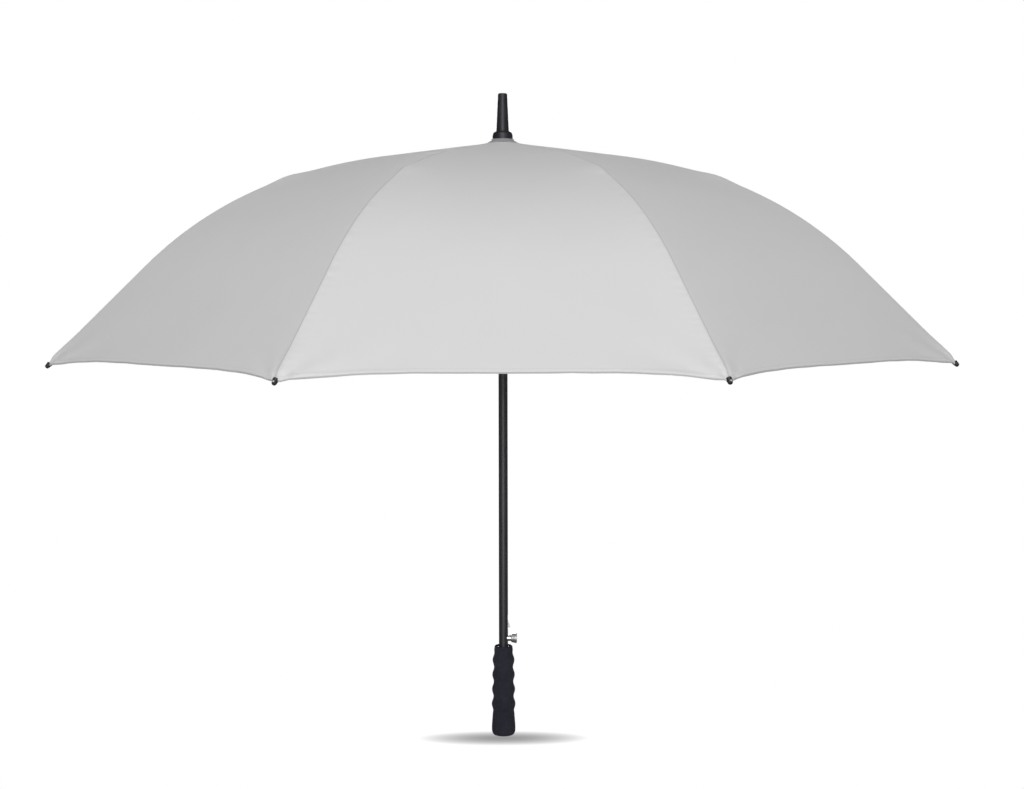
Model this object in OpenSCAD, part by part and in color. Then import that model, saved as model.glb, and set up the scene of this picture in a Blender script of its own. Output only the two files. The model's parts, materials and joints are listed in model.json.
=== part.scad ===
// Auto-opening stick umbrella, shown open. Millimetres, +Z up along the shaft.
// Origin: centre of the handle's end face. The push button is on the +X side.
// Eight ribs hinge on a fixed top notch. Eight stretchers join them to a spring
// hub, and eight struts join the stretchers to the runner that the hand pulls down.

/* [Shaft and height] */
// Outer diameter of the steel shaft tube
shaft_d = 12.5; // [12:0.1:13]
// Wall thickness of the shaft tube
shaft_wall = 0.8; // [0.6:0.1:1]
// Height of the ring of rib hinges above the handle's end
notch_z = 813; // [800:1:830]
// Overall height to the top of the ferrule
total_h = 882.7; // [870:0.1:900]

/* [Ribs] */
// Straight run of a rib from its hinge outwards
inner_straight = 158; // [150:1:165]
// Curved run of a rib up to the stretcher joint
inner_arc = 135; // [125:1:140]
// Curved run of a rib beyond the stretcher joint
outer_arc = 216; // [205:1:225]
// Straight run of a rib to its tip
outer_straight = 174; // [165:1:185]
// Downward slope of a rib at its hinge, degrees
slope_start = 8.5; // [6:0.5:10]
// Downward slope of a rib at the stretcher joint, degrees
slope_joint = 19; // [15:0.5:22]
// Downward slope of a rib at its tip, degrees
slope_tip = 45; // [42:0.5:50]
// Diameter of the inner rib rod
inner_rod_d = 3.8; // [3.4:0.1:4]
// Diameter of the outer rib rod
outer_rod_d = 3.4; // [3:0.1:3.6]

/* [Canopy] */
// Thickness of the canopy cloth
cloth_t = 0.8; // [0.6:0.1:1]
// How far the middle of a panel sags below the straight line between its ribs, at the hem
panel_sag = 7; // [4:0.5:10]
// How far the hem curves in at the middle of a panel
hem_recess = 12; // [6:1:18]

/* [Runner and struts] */
// Distance from a hub hinge to the strut's place on the stretcher
strut_reach = 85; // [80:1:88]
// Length of a strut between its two ends
strut_len = 120; // [118:1:124]
// Length of the runner's sleeve below its hinge ring
runner_len = 50; // [44:1:52]

/* [Handle] */
// Height of the foam grip
grip_h = 123.5; // [120:0.5:130]
// Height of the push button's centre
button_z = 133.8; // [133:0.2:136]
// Diameter of the push button's outer face
button_d = 13.7; // [12:0.1:14]

/* [Hidden] */
$fn = 64;
RIBS = 8;
STEP = 360 / RIBS;

shaft_r = shaft_d / 2;
bore_r = shaft_r + 0.08;
wire_r = 0.7;
eye_r = 2.6;
eye_w = 4;
eye_hole_r = 0.95;
hinge_ring_r = 12;
runner_ring_r = 16;
slot_w = 4.6;
ring_half_h = 4.5;

// Length of the moulded cup on a rib's tip
cup_len = 7.2;

// Rib line in the plane of one rib: points are [distance from the axis, height]
s_joint = inner_straight + inner_arc;
s_bend_end = s_joint + outer_arc;
s_tip = s_bend_end + outer_straight;

function arc_run(len, a, b) = len * (sin(b) - sin(a)) / ((b - a) * PI / 180);
function arc_drop(len, a, b) = len * (cos(a) - cos(b)) / ((b - a) * PI / 180);
function step_along(p, len, a, b) =
    len <= 0 ? p
    : abs(b - a) < 0.001 ? p + len * [cos(a), -sin(a)]
    : p + [arc_run(len, a, b), -arc_drop(len, a, b)];
function rib_slope(s) =
    s <= inner_straight ? slope_start
    : s <= s_joint ? slope_start + (slope_joint - slope_start) * (s - inner_straight) / inner_arc
    : s <= s_bend_end ? slope_joint + (slope_tip - slope_joint) * (s - s_joint) / outer_arc
    : slope_tip;
function rib_point(s) =
    s <= inner_straight
        ? step_along([hinge_ring_r, notch_z], s, slope_start, slope_start)
    : s <= s_joint
        ? step_along(rib_point(inner_straight), s - inner_straight, slope_start, rib_slope(s))
    : s <= s_bend_end
        ? step_along(rib_point(s_joint), s - s_joint, slope_joint, rib_slope(s))
    : step_along(rib_point(s_bend_end), s - s_bend_end, slope_tip, slope_tip);

joint_p = rib_point(s_joint);
stretcher_len = norm(joint_p - [hinge_ring_r, notch_z]);
hub_z = 2 * joint_p[1] - notch_z;
stretcher_rise = atan2(joint_p[1] - hub_z, joint_p[0] - hinge_ring_r);

// The strut's upper end lies on the stretcher, strut_reach from the hub hinge
strut_end = [hinge_ring_r + strut_reach * cos(stretcher_rise),
    hub_z + strut_reach * sin(stretcher_rise)];
strut_rise = acos((strut_end[0] - runner_ring_r) / strut_len);
runner_z = strut_end[1] - strut_len * sin(strut_rise);

black_metal = [0.07, 0.07, 0.08];
black_plastic = [0.05, 0.05, 0.055];
steel = [0.7, 0.71, 0.73];
chrome = [0.85, 0.86, 0.88];
foam = [0.06, 0.06, 0.07];
silver_cloth = [0.74, 0.74, 0.75];

module at_rib(i) {
    rotate([0, 0, STEP * (i - 0.5)]) children();
}

// Places children with their +X axis heading outwards and down the rib line at s
module on_rib(s) {
    translate([rib_point(s)[0], 0, rib_point(s)[1]])
        rotate([0, rib_slope(s), 0]) children();
}

// Rod that starts at the origin heading +X
module rod(r, len) {
    rotate([0, 90, 0]) cylinder(r = r, h = len, $fn = 32);
}

// Rod that starts at the origin heading +X and bends down by turn degrees
module bent_rod(r, len, turn) {
    bend_r = len / (turn * PI / 180);
    translate([0, 0, -bend_r]) rotate([0, turn - 90, 0]) rotate([90, 0, 0])
        rotate_extrude(angle = turn, $fn = 128) translate([bend_r, 0]) circle(r = r, $fn = 32);
}

// Disc whose axis is across the rib, between the two given distances from the middle plane
module cross_disc(r, y0, y1) {
    translate([0, y1, 0]) rotate([90, 0, 0]) cylinder(r = r, h = y1 - y0, $fn = 48);
}

// The same disc on both sides of the middle plane
module cross_pair(r, y0, y1) {
    cross_disc(r, y0, y1);
    cross_disc(r, -y1, -y0);
}

// Two plates, one on each side of the middle plane
module plate_pair(x0, x1, y0, y1, z0, z1) {
    for (side = [-1, 1])
        translate([x0, side > 0 ? y0 : -y1, z0]) cube([x1 - x0, y1 - y0, z1 - z0]);
}

module wire_ring(ring_r, r) {
    rotate_extrude($fn = 96) translate([ring_r, 0]) circle(r = r, $fn = 24);
}

// Eight radial slots that hinge eyes sit in
module hinge_slots(ring_r, z0, z1) {
    for (i = [1 : RIBS])
        at_rib(i) translate([ring_r - eye_r - 0.4, -slot_w / 2, z0]) cube([20, slot_w, z1 - z0]);
}

// Helical coil along +Z, as one swept wire
module coil(ring_r, r, len, turns, steps = 16, sides = 6) {
    n = turns * steps;
    rise = atan2(len - 2 * r, 2 * PI * ring_r * turns);
    pts = [for (k = [0 : n]) let (a = 360 * k / steps, z = r + (len - 2 * r) * k / n)
        for (m = [0 : sides - 1]) let (b = 360 * m / sides)
        [(ring_r + r * cos(b)) * cos(a) + r * sin(b) * sin(rise) * sin(a),
            (ring_r + r * cos(b)) * sin(a) - r * sin(b) * sin(rise) * cos(a),
            z + r * sin(b) * cos(rise)]];
    walls = [for (k = [0 : n - 1], m = [0 : sides - 1]) let (
        p = k * sides + m, q = k * sides + (m + 1) % sides, p2 = p + sides, q2 = q + sides)
        each [[p, p2, q2], [p, q2, q]]];
    cap0 = [[for (m = [0 : sides - 1]) m]];
    cap1 = [[for (m = [0 : sides - 1]) n * sides + sides - 1 - m]];
    polyhedron(points = pts, faces = concat(walls, cap0, cap1), convexity = 10);
}

// ---- Shaft, top and handle ----

catch_pivot = [3, 162];
button_stem_r = 4;
shaft_z0 = 10;
shaft_z1 = total_h - 21;
rivet_z = notch_z - 12;
rivet_hole_r = 1.3;

// Hole across the shaft for the rivet that holds the top notch
module rivet_hole(len) {
    translate([0, 0, rivet_z]) rotate([0, 90, 0])
        cylinder(r = rivet_hole_r, h = len, center = true, $fn = 32);
}

module shaft_tube() {
    catch_slot = [10, 3.4, 19];
    catch_slot_z = 146.5;
    color(black_metal) difference() {
        translate([0, 0, shaft_z0]) cylinder(r = shaft_r, h = shaft_z1 - shaft_z0);
        translate([0, 0, shaft_z0 - 1])
            cylinder(r = shaft_r - shaft_wall, h = shaft_z1 - shaft_z0 + 2);
        translate([0, 0, button_z]) rotate([0, 90, 0]) cylinder(r = button_stem_r + 0.1, h = 10);
        translate([0, -catch_slot[1] / 2, catch_slot_z]) cube(catch_slot);
        rivet_hole(2 * shaft_d);
    }
}

cap_z = notch_z + 7.3;
cap_h = 10.1;
fixed_r = shaft_r + 0.05;

// Tapered plug over the shaft's top end, with a bead round its foot
module ferrule() {
    top_r = 6.3;
    base_r = 8.5;
    bead_r = 9;
    bead_h = 1.8;
    round_r = 1.6;
    foot_z = cap_z + cap_h;
    color(black_plastic) difference() {
        rotate_extrude() polygon(concat(
            [[0, foot_z], [bead_r - 0.3, foot_z], [bead_r, foot_z + 0.4],
                [bead_r, foot_z + bead_h - 0.7], [base_r, foot_z + bead_h]],
            [for (a = [0 : 15 : 90])
                [top_r - round_r + round_r * cos(a), total_h - round_r + round_r * sin(a)]],
            [[0, total_h]]));
        translate([0, 0, cap_z]) cylinder(r = fixed_r, h = shaft_z1 + 1 - cap_z);
    }
}

// Domed collar that clamps the cloth: steep sides and a flat top
module crown_cap() {
    rim_r = 13.85;
    neck_r = 9.2;
    rim_h = 1;
    dome_h = cap_h - rim_h - 0.05;
    fullness = 2.6;
    color(black_plastic) difference() {
        rotate_extrude() polygon(concat(
            [[0, cap_z], [rim_r, cap_z], [rim_r, cap_z + rim_h]],
            [for (a = [10 : 10 : 90])
                [neck_r + (rim_r - neck_r) * pow(cos(a), 2 / fullness),
                    cap_z + rim_h + dome_h * pow(sin(a), 2 / fullness)]],
            [[0, cap_z + rim_h + dome_h]]));
        translate([0, 0, cap_z - 1]) cylinder(r = fixed_r, h = cap_h + 2);
    }
}

// Stack of cloth discs between the top notch and the collar
module crown_rosette() {
    stack_h = 3.4;
    color(silver_cloth) difference() {
        translate([0, 0, cap_z - stack_h - 0.1]) cylinder(r1 = 16.6, r2 = 15.2, h = stack_h, $fn = 96);
        translate([0, 0, cap_z - stack_h - 1]) cylinder(r = shaft_r + 0.1, h = stack_h + 2);
    }
}

notch_neck_r = 9;

module top_notch() {
    disc_r = 15.2;
    disc_z0 = notch_z - 5.5;
    disc_z1 = notch_z + 3.7;
    neck_z0 = notch_z - 18;
    color(black_plastic) difference() {
        union() {
            translate([0, 0, disc_z0]) cylinder(r = disc_r, h = disc_z1 - disc_z0);
            translate([0, 0, neck_z0]) cylinder(r = notch_neck_r, h = disc_z0 + 0.5 - neck_z0);
        }
        translate([0, 0, neck_z0 - 1]) cylinder(r = fixed_r, h = disc_z1 - neck_z0 + 2);
        hinge_slots(hinge_ring_r, disc_z0 - 0.5, disc_z1 - 0.8);
        translate([0, 0, notch_z]) wire_ring(hinge_ring_r, wire_r + 0.03);
        rivet_hole(4 * notch_neck_r);
    }
}

module notch_wire() {
    color(steel) translate([0, 0, notch_z]) wire_ring(hinge_ring_r, wire_r);
}

module notch_rivet() {
    head_r = 2.2;
    head_h = 0.8;
    head_x = notch_neck_r + 0.2 + head_h / 2;
    color(steel) translate([0, 0, rivet_z]) rotate([0, 90, 0]) {
        cylinder(r = rivet_hole_r - 0.05, h = 2 * head_x - head_h / 2, center = true, $fn = 32);
        for (side = [-1, 1])
            translate([0, 0, side * head_x]) cylinder(r = head_r, h = head_h, center = true, $fn = 32);
    }
}

// Foam grip: a waved outline, thinner towards the top, with a flared base
wave_pitch = 20.3;
wave_top_z = 42.8;
wave_depth = 1.1;
grip_mid_r = 15.25;
grip_taper = 0.021;
core_r = 8.95;
function grip_r(z) = grip_mid_r - grip_taper * (z - wave_top_z)
    + wave_depth * cos(360 * (z - wave_top_z) / wave_pitch);

module handle_grip() {
    base_r = 16.3;
    waist_z = wave_top_z - wave_pitch / 2;
    last_z = wave_top_z + 3.5 * wave_pitch;
    color(foam) difference() {
        rotate_extrude($fn = 96) polygon(concat(
            [[0, 0.5], [13.2, 0.5], [14.8, 1.6], [15.8, 4], [base_r, 8.5], [base_r - 0.2, 13],
                [base_r - 1, 20]],
            [for (z = [waist_z - 3 : 3 : last_z]) [z < waist_z ? grip_r(waist_z) + 0.3 : grip_r(z), z]],
            [[12.45, grip_h - 2], [12.1, grip_h - 0.6], [11.2, grip_h], [9.6, grip_h - 0.6],
                [9.3, grip_h - 2], [0, grip_h - 2]]));
        translate([0, 0, -1]) cylinder(r = core_r + 0.1, h = grip_h + 2);
    }
}

module handle_core() {
    core_z0 = 5;
    bevel_z = grip_h - 4;
    color(black_plastic) difference() {
        union() {
            translate([0, 0, core_z0]) cylinder(r = core_r, h = bevel_z + 1 - core_z0);
            translate([0, 0, bevel_z]) cylinder(r1 = core_r, r2 = core_r - 1, h = 2.4);
        }
        translate([0, 0, core_z0 - 1]) cylinder(r = fixed_r, h = grip_h);
    }
}

module handle_end_cap() {
    plate_h = 4.9;
    color(black_plastic) {
        rotate_extrude() polygon([[0, 0], [7.6, 0], [8.6, 0.8], [core_r, 2], [core_r, plate_h],
            [0, plate_h]]);
        translate([0, 0, plate_h - 0.1]) cylinder(r = shaft_r - 0.05, h = shaft_z0 - plate_h - 0.2);
    }
}

// Plastic block inside the shaft that carries the button and the catch
module trigger_block() {
    block_r = shaft_r - shaft_wall - 0.05;
    block_z = 118;
    block_h = 50;
    catch_pocket = [12, 2.9, 21];
    pocket_at = [-2.6, 144.5];
    color(black_plastic) {
        difference() {
            translate([0, 0, block_z]) cylinder(r = block_r, h = block_h);
            translate([-4.5, 0, button_z]) rotate([0, 90, 0])
                cylinder(r = button_stem_r + 0.08, h = 12);
            translate([pocket_at[0], -catch_pocket[1] / 2, pocket_at[1]]) cube(catch_pocket);
        }
        translate([catch_pivot[0], 0, catch_pivot[1]])
            cross_disc(0.8, -catch_pocket[1] / 2 - 0.15, catch_pocket[1] / 2 + 0.15);
    }
}

// Flared button head on a stem that is hollow for its spring
module push_button() {
    head_x = 10.6;
    head_len = 8;
    spring_hole_r = 2.45;
    color(chrome) translate([0, 0, button_z]) rotate([0, 90, 0]) difference() {
        union() {
            cylinder(r = button_stem_r, h = head_x + 0.5);
            rotate_extrude() polygon([[0, head_x], [5, head_x], [5.6, head_x + 0.5],
                [button_d / 2, head_x + head_len - 1.6], [button_d / 2, head_x + head_len - 0.8],
                [button_d / 2 - 0.6, head_x + head_len - 0.2], [0, head_x + head_len]]);
        }
        translate([0, 0, -1]) cylinder(r = spring_hole_r, h = 7);
    }
}

module button_spring() {
    spring_x = -4.4;
    spring_len = 10.3;
    color(steel) translate([spring_x, 0, button_z]) rotate([0, 90, 0])
        coil(1.9, 0.25, spring_len, 6, 12);
}

// Sprung catch: its nose stands out of the shaft and holds the closed runner down
module catch_lever() {
    lever_t = 2.4;
    color(steel) translate([catch_pivot[0], 0, catch_pivot[1]]) difference() {
        rotate([90, 0, 0]) translate([0, 0, -lever_t / 2]) linear_extrude(height = lever_t)
            polygon([[-1.8, 2], [1.9, 2], [1.9, -1.4], [3.35, -3.2], [6.2, -13.4], [3, -13.4],
                [1.4, -14.8], [1.4, -17], [-0.2, -17], [-1.8, -10]]);
        cross_disc(0.88, -3, 3);
    }
}

// ---- Spring hub, runner and the spring between them ----

hub_seat = 16;
sleeve_r = 9;

module spring_hub() {
    color(black_plastic) difference() {
        translate([0, 0, hub_z]) union() {
            translate([0, 0, -ring_half_h]) cylinder(r = hinge_ring_r + eye_r, h = 2 * ring_half_h);
            translate([0, 0, -hub_seat]) cylinder(r = sleeve_r, h = hub_seat + ring_half_h + 5);
        }
        translate([0, 0, hub_z - 30]) cylinder(r = bore_r, h = 60);
        hinge_slots(hinge_ring_r, hub_z - 6, hub_z + 6);
        translate([0, 0, hub_z]) wire_ring(hinge_ring_r, wire_r + 0.03);
    }
}

module hub_wire() {
    color(steel) translate([0, 0, hub_z]) wire_ring(hinge_ring_r, wire_r);
}

// Sleeve that the hand pulls, with a rolled foot and a window for the catch
module runner() {
    rim_r = 11.5;
    waist_r = 9.2;
    foot = -runner_len;
    window = [20, 4.4, 12];
    window_z = 2.5;
    color(black_plastic) difference() {
        translate([0, 0, runner_z]) union() {
            translate([0, 0, -ring_half_h])
                cylinder(r = runner_ring_r + eye_r, h = 2 * ring_half_h);
            rotate_extrude() polygon([[0, foot], [rim_r - 0.8, foot], [rim_r, foot + 0.8],
                [rim_r, foot + 2.4], [waist_r, foot + 4.2], [waist_r, -10],
                [rim_r - 0.1, -ring_half_h], [rim_r - 0.1, 0], [0, 0]]);
        }
        translate([0, 0, runner_z - runner_len - 10]) cylinder(r = bore_r, h = runner_len + 30);
        hinge_slots(runner_ring_r, runner_z - 6, runner_z + 6);
        translate([0, 0, runner_z]) wire_ring(runner_ring_r, wire_r + 0.03);
        translate([0, -window[1] / 2, runner_z - runner_len + window_z]) cube(window);
    }
}

module runner_wire() {
    color(steel) translate([0, 0, runner_z]) wire_ring(runner_ring_r, wire_r);
}

module opening_spring() {
    low = runner_z + ring_half_h + 0.1;
    high = hub_z - hub_seat - 0.1;
    color(steel) translate([0, 0, low]) coil(7.95, 0.75, high - low, 8);
}

// ---- Ribs, stretchers and struts ----

pin_r = 1.2;
pin_hole_r = pin_r + 0.05;
// The joint is a stack: the outer rib's tongue, the inner rib's cheeks, then the fork
tongue_y = 0.9;
cheek_y = [1.1, 2.45];
fork_y = [2.8, 3.8];
neck_len = 4;
// A straight rod runs this far into a bent one, and is this much thinner
lap = 2;
lap_step = 0.03;

module rib_inner(i) {
    bent_len = inner_arc - neck_len;
    cheek_r = 2.8;
    cheek_half_h = 2.2;
    sleeve = [-20, -3.2];
    color(black_plastic) at_rib(i) {
        difference() {
            union() {
                on_rib(0) cross_disc(eye_r, -eye_w / 2, eye_w / 2);
                on_rib(0) rod(inner_rod_d / 2 - lap_step, inner_straight + lap);
                on_rib(inner_straight) bent_rod(inner_rod_d / 2, bent_len,
                    (slope_joint - slope_start) * bent_len / inner_arc);
                on_rib(s_joint) {
                    translate([sleeve[0], 0, 0]) rod(cheek_y[1] - 0.02, sleeve[1] - sleeve[0]);
                    plate_pair(-6, 0, cheek_y[0], cheek_y[1], -cheek_half_h, cheek_half_h);
                    cross_pair(cheek_r, cheek_y[0], cheek_y[1]);
                }
            }
            on_rib(0) cross_disc(eye_hole_r, -eye_w, eye_w);
        }
        on_rib(s_joint) {
            cross_disc(pin_r, -fork_y[1] - 0.4, fork_y[1] + 0.4);
            cross_pair(2, fork_y[1] + 0.2, fork_y[1] + 0.8);
        }
    }
}

// Moulded cup on a rib's end: a round nose, and a flared skirt that the cloth's corner enters
module tip_cup() {
    nose_r = 2.6;
    mouth_r = 3.4;
    wall = 0.7;
    floor_x = -3.9;
    eyelet_r = 1;
    difference() {
        rotate([0, 90, 0]) rotate_extrude($fn = 48) polygon([[0, floor_x],
            [mouth_r - wall - 0.5, floor_x], [mouth_r - wall, -cup_len], [mouth_r, -cup_len],
            [mouth_r + 0.05, -cup_len + 0.5], [mouth_r - 0.2, floor_x - 1.7],
            [nose_r + 0.25, floor_x + 1], [nose_r, -1.6], [nose_r * 0.76, -0.55],
            [nose_r * 0.42, -0.13], [0, 0]]);
        translate([floor_x + 1.5, 0, outer_rod_d / 2 + 0.2])
            cylinder(r = eyelet_r, h = 5, $fn = 32);
    }
}

module rib_outer(i) {
    bent_len = outer_arc - neck_len;
    tongue_r = 2.6;
    rod_end = 2.7;
    color(black_plastic) at_rib(i) {
        difference() {
            union() {
                on_rib(s_joint) {
                    cross_disc(tongue_r, -tongue_y, tongue_y);
                    translate([0, -tongue_y, -tongue_r / 2])
                        cube([neck_len + 1.5, 2 * tongue_y, tongue_r]);
                }
                on_rib(s_joint + neck_len) bent_rod(outer_rod_d / 2, bent_len,
                    (slope_tip - slope_joint) * bent_len / outer_arc);
                on_rib(s_bend_end) translate([-lap, 0, 0])
                    rod(outer_rod_d / 2 - lap_step, outer_straight - rod_end + lap);
                on_rib(s_tip) tip_cup();
            }
            on_rib(s_joint) cross_disc(pin_hole_r, -3, 3);
        }
    }
}

// Places children at the hub hinge with +X along the stretcher
module on_stretcher() {
    translate([hinge_ring_r, 0, hub_z]) rotate([0, -stretcher_rise, 0]) children();
}

// Folded steel channel, open below, with a fork that straddles the rib joint
module stretcher(i) {
    fork_len = 14;
    web_len = 4;
    half_h = 2;
    half_w = 1.8;
    steel_t = 0.6;
    channel_start = 8;
    channel_end = stretcher_len - fork_len - web_len;
    color(black_metal) at_rib(i) on_stretcher() difference() {
        union() {
            cross_disc(eye_r, -eye_w / 2, eye_w / 2);
            translate([0, -half_w, -half_h]) cube([channel_end + 1, 2 * half_w, 2 * half_h]);
            translate([channel_end, -fork_y[1], -half_h])
                cube([web_len + 0.5, 2 * fork_y[1], 2 * half_h]);
            plate_pair(channel_end + web_len, stretcher_len, fork_y[0], fork_y[1],
                -half_h, half_h);
            translate([stretcher_len, 0, 0]) cross_pair(2.8, fork_y[0], fork_y[1]);
        }
        cross_disc(eye_hole_r, -eye_w, eye_w);
        translate([channel_start, steel_t - half_w, -half_h - 1])
            cube([channel_end - channel_start, 2 * (half_w - steel_t), 2 * half_h]);
        translate([stretcher_len, 0, 0]) cross_disc(pin_hole_r, -6, 6);
    }
}

// Bar whose far half is a fork that straddles the stretcher
module strut(i) {
    bar_len = 48;
    half_w = 2;
    half_h = 1.6;
    arm_y = [2.2, 3.2];
    color(black_metal) at_rib(i) translate([runner_ring_r, 0, runner_z])
        rotate([0, -strut_rise, 0]) difference() {
        union() {
            cross_disc(eye_r, -eye_w / 2, eye_w / 2);
            translate([0, -half_w, -half_h]) cube([bar_len, 2 * half_w, 2 * half_h]);
            translate([bar_len - 3, -arm_y[1], -half_h]) cube([4, 2 * arm_y[1], 2 * half_h]);
            plate_pair(bar_len, strut_len, arm_y[0], arm_y[1], -half_h, half_h);
            translate([strut_len, 0, 0]) cross_pair(2.6, arm_y[0], arm_y[1]);
            translate([strut_len, 0, 0]) cross_pair(1.8, arm_y[1] - 0.1, arm_y[1] + 0.6);
        }
        cross_disc(eye_hole_r, -eye_w, eye_w);
    }
}

// ---- Canopy ----

// Height of the cloth's underside above the middle of the rib's rod
cloth_gap = 3.6;
// Half gaps between two gores at a panel's middle, and between a gore's halves at the rib
panel_gap = 0.2;
seam_gap = 0.15;
gore_start = 6;
gore_end = s_tip - cup_len - 1.2;
ALONG = 14;
ACROSS = 4;

// Cloth point: u runs from crown to hem, t from the rib (0) to the panel's middle (1)
function cloth_point(u, t, lift) = let (
    crowned = 1 - (1 - t) * (1 - t),
    s = gore_start + (gore_end - hem_recess * crowned - gore_start) * u,
    p = rib_point(s) + lift * [sin(rib_slope(s)), cos(rib_slope(s))],
    half_turn = STEP / 2,
    x = p[0] * (1 - t * (1 - cos(STEP)) / 2),
    y = seam_gap * (1 - t) + t * p[0] * sin(STEP) / 2)
    [x + panel_gap * sin(half_turn) * t, y - panel_gap * cos(half_turn) * t,
        p[1] - panel_sag * crowned * u];

// Closed slab between an upper and a lower grid of points
module slab(upper, lower) {
    n = len(upper) - 1;
    m = len(upper[0]) - 1;
    low0 = (n + 1) * (m + 1);
    function up(i, j) = i * (m + 1) + j;
    function lo(i, j) = low0 + i * (m + 1) + j;
    skins = [for (i = [0 : n - 1], j = [0 : m - 1]) each [
        [up(i, j), up(i, j + 1), up(i + 1, j + 1)], [up(i, j), up(i + 1, j + 1), up(i + 1, j)],
        [lo(i, j), lo(i + 1, j + 1), lo(i, j + 1)], [lo(i, j), lo(i + 1, j), lo(i + 1, j + 1)]]];
    sides = [for (i = [0 : n - 1]) each [
        [up(i, 0), up(i + 1, 0), lo(i + 1, 0)], [up(i, 0), lo(i + 1, 0), lo(i, 0)],
        [up(i, m), lo(i, m), lo(i + 1, m)], [up(i, m), lo(i + 1, m), up(i + 1, m)]]];
    ends = [for (j = [0 : m - 1]) each [
        [up(0, j + 1), up(0, j), lo(0, j)], [up(0, j + 1), lo(0, j), lo(0, j + 1)],
        [up(n, j), up(n, j + 1), lo(n, j + 1)], [up(n, j), lo(n, j + 1), lo(n, j)]]];
    polyhedron(points = concat([for (row = upper) each row], [for (row = lower) each row]),
        faces = concat(skins, sides, ends), convexity = 6);
}

module half_gore() {
    upper = [for (i = [0 : ALONG]) [for (j = [0 : ACROSS])
        cloth_point(i / ALONG, j / ACROSS, cloth_gap + cloth_t)]];
    lower = [for (i = [0 : ALONG]) [for (j = [0 : ACROSS])
        cloth_point(i / ALONG, j / ACROSS, cloth_gap)]];
    slab(upper, lower);
}

// One gore hangs over one rib, from panel middle to panel middle
module canopy_gore(i) {
    color(silver_cloth) at_rib(i) {
        half_gore();
        mirror([0, 1, 0]) half_gore();
    }
}

shaft_tube();
ferrule();
crown_cap();
crown_rosette();
top_notch();
notch_wire();
notch_rivet();
handle_grip();
handle_core();
handle_end_cap();
trigger_block();
push_button();
button_spring();
catch_lever();
spring_hub();
hub_wire();
runner();
runner_wire();
opening_spring();
rib_inner(1);  // rib_inner_1
rib_inner(2);  // rib_inner_2
rib_inner(3);  // rib_inner_3
rib_inner(4);  // rib_inner_4
rib_inner(5);  // rib_inner_5
rib_inner(6);  // rib_inner_6
rib_inner(7);  // rib_inner_7
rib_inner(8);  // rib_inner_8
rib_outer(1);  // rib_outer_1
rib_outer(2);  // rib_outer_2
rib_outer(3);  // rib_outer_3
rib_outer(4);  // rib_outer_4
rib_outer(5);  // rib_outer_5
rib_outer(6);  // rib_outer_6
rib_outer(7);  // rib_outer_7
rib_outer(8);  // rib_outer_8
stretcher(1);  // stretcher_1
stretcher(2);  // stretcher_2
stretcher(3);  // stretcher_3
stretcher(4);  // stretcher_4
stretcher(5);  // stretcher_5
stretcher(6);  // stretcher_6
stretcher(7);  // stretcher_7
stretcher(8);  // stretcher_8
strut(1);  // strut_1
strut(2);  // strut_2
strut(3);  // strut_3
strut(4);  // strut_4
strut(5);  // strut_5
strut(6);  // strut_6
strut(7);  // strut_7
strut(8);  // strut_8
canopy_gore(1);  // canopy_gore_1
canopy_gore(2);  // canopy_gore_2
canopy_gore(3);  // canopy_gore_3
canopy_gore(4);  // canopy_gore_4
canopy_gore(5);  // canopy_gore_5
canopy_gore(6);  // canopy_gore_6
canopy_gore(7);  // canopy_gore_7
canopy_gore(8);  // canopy_gore_8
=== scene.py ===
"""Looks of an auto-opening stick umbrella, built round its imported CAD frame. Metres, +Z up the shaft."""
import json
import math

import bpy
import numpy as np
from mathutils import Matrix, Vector


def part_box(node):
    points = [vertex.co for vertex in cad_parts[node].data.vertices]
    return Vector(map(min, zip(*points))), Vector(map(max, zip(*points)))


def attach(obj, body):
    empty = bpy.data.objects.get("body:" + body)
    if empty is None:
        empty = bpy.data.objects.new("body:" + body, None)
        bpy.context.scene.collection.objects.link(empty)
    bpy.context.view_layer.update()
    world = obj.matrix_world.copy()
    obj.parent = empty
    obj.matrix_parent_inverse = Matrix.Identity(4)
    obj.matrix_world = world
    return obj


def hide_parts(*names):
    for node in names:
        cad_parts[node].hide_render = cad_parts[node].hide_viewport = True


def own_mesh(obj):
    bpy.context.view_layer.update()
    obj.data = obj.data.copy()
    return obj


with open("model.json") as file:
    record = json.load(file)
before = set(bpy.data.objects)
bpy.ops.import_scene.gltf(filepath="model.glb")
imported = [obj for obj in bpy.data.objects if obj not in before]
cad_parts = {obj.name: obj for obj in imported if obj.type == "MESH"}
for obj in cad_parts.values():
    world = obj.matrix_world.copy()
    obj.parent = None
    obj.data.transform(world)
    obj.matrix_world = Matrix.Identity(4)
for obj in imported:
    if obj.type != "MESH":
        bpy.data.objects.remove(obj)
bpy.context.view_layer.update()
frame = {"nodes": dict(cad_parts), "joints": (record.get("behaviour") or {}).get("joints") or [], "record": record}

MM = 0.001
RIBS = 8
HALF_GORE = math.pi / RIBS
SIN_HALF, COS_HALF = math.sin(HALF_GORE), math.cos(HALF_GORE)

# ---- Rib line, as the frame holds it ----

# A rib is a straight, two arcs that meet at its joint, and a straight, with a slope in degrees at each end
RUNS = (0.158, 0.135, 0.216, 0.174)
SLOPES = (8.5, 8.5, 19, 45, 45)
STATIONS = np.cumsum((0,) + RUNS)
S_JOINT, S_BEND_END, S_TIP = STATIONS[2:]
RIB_SAMPLES = 6001

hinges = {joint["name"]: Vector(joint["pos_m"]) for joint in frame["joints"] if "pos_m" in joint}
HINGE_R = hinges["rib_fold_1"].xy.length
HINGE_Z = hinges["rib_fold_1"].z


def rib_slope(s):
    return np.radians(np.interp(s, STATIONS, SLOPES))


def sum_along(s, rate):
    """Running integral of a rate over even stations, by trapezoids."""
    return np.concatenate([[0], np.cumsum((rate[1:] + rate[:-1]) * (s[1] / 2))])


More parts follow.
